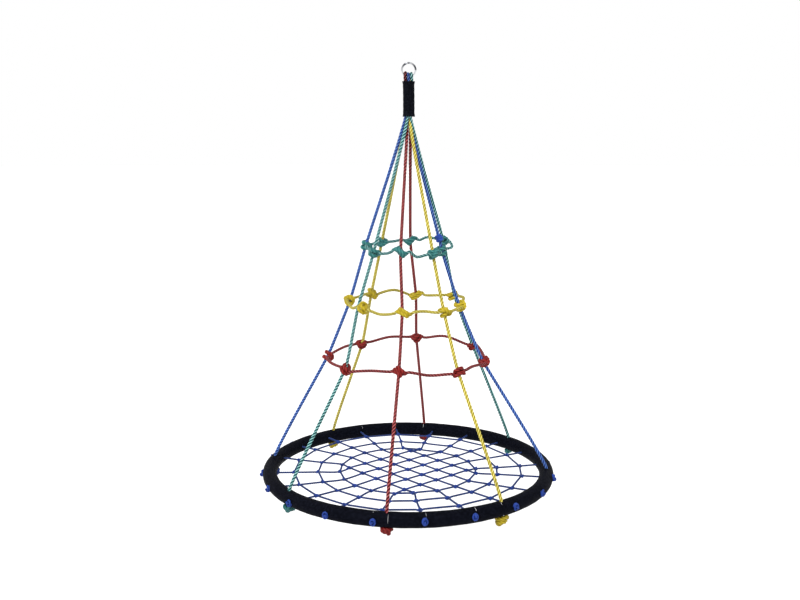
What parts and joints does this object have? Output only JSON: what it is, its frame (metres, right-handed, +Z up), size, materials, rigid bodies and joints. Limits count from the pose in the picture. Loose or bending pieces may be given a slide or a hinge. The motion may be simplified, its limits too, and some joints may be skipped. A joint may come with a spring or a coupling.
{
  "type": "saucer nest swing",
  "caption": "Round rope-net swing seat in a padded steel hoop, hung by a cone of coloured ropes and knotted rope hoops from one steel ring.",
  "frame": {"origin": "the hanging point: the inside top of the steel ring, where a hook bears", "axes": "+Z up along the plumb line; the steel ring lies in the XZ plane, so -Y is the front and +X the right"},
  "size_m": [1.022, 1.022, 1.4228],
  "materials": {
    "ring_steel": "polished",
    "rope_red": "matte",
    "rope_blue": "matte",
    "rope_yellow": "matte",
    "rope_teal": "matte",
    "sleeve_webbing": "matte",
    "cover_fabric": "matte",
    "net_rope": "matte",
    "tube_steel": "satin",
    "foam": "matte"
  },
  "bodies": {
    "top_ring": {"top_ring": "ring_steel"},
    "rope_head": {"bight_red": "rope_red", "bight_blue": "rope_blue", "bight_yellow": "rope_yellow", "bight_teal": "rope_teal"},
    "hanger": {"bundle_sleeve": "sleeve_webbing"},
    "rope_cone": {"leg_red_front": "rope_red", "leg_yellow_front": "rope_yellow", "leg_blue_right": "rope_blue", "leg_teal_back": "rope_teal", "leg_red_back": "rope_red", "leg_yellow_back": "rope_yellow", "leg_blue_left": "rope_blue", "leg_teal_front": "rope_teal"},
    "hoop_teal": {"hoop_teal_top": "rope_teal"},
    "hoop_yellow": {"hoop_yellow_middle": "rope_yellow"},
    "hoop_red": {"hoop_red_lower": "rope_red"},
    "seat": {"frame_tube": "tube_steel", "frame_foam": "foam", "frame_cover": "cover_fabric", "stopper_red_front": "rope_red", "stopper_yellow_front": "rope_yellow", "stopper_blue_right": "rope_blue", "stopper_teal_back": "rope_teal", "stopper_red_back": "rope_red", "stopper_yellow_back": "rope_yellow", "stopper_blue_left": "rope_blue", "stopper_teal_front": "rope_teal", "net_warp_1": "net_rope", "net_warp_2": "net_rope", "net_warp_3": "net_rope", "net_warp_4": "net_rope", "net_warp_5": "net_rope", "net_weft_1": "net_rope", "net_weft_2": "net_rope", "net_weft_3": "net_rope", "net_weft_4": "net_rope", "net_weft_5": "net_rope", "net_ring_inner": "net_rope", "net_ring_middle": "net_rope", "net_ring_outer": "net_rope"}
  },
  "joints": [
    {"name": "ring_roll", "type": "hinge", "parent": "top_ring", "child": "rope_head", "pos_m": [0, 0, -0.0195], "axis": [0, 1, 0], "range_deg": [-40, 40]},
    {"name": "fore_aft_swing", "type": "hinge", "parent": "rope_head", "child": "hanger", "pos_m": [0, 0, -0.049], "axis": [1, 0, 0], "range_deg": [-40, 40], "deforming": ["bight_red", "bight_blue", "bight_yellow", "bight_teal"]},
    {"name": "spin", "type": "hinge", "parent": "hanger", "child": "rope_cone", "pos_m": [0, 0, -0.169], "axis": [0, 0, 1], "range_deg": [-90, 90]},
    {"name": "collapse", "type": "slide", "parent": "rope_cone", "child": "seat", "axis": [0, 0, 1], "range_m": [0, 0.842], "deforming": ["leg_red_front", "leg_yellow_front", "leg_blue_right", "leg_teal_back", "leg_red_back", "leg_yellow_back", "leg_blue_left", "leg_teal_front"]},
    {"name": "hoop_teal_lift", "type": "slide", "parent": "rope_cone", "child": "hoop_teal", "axis": [0, 0, 1], "range_m": [0, 0.302]},
    {"name": "hoop_yellow_lift", "type": "slide", "parent": "rope_cone", "child": "hoop_yellow", "axis": [0, 0, 1], "range_m": [0, 0.434]},
    {"name": "hoop_red_lift", "type": "slide", "parent": "rope_cone", "child": "hoop_red", "axis": [0, 0, 1], "range_m": [0, 0.565]}
  ],
  "couplings": [
    {"joint": "hoop_teal_lift", "follows": "collapse", "ratio": 0.3583},
    {"joint": "hoop_yellow_lift", "follows": "collapse", "ratio": 0.5154},
    {"joint": "hoop_red_lift", "follows": "collapse", "ratio": 0.6708}
  ]
}
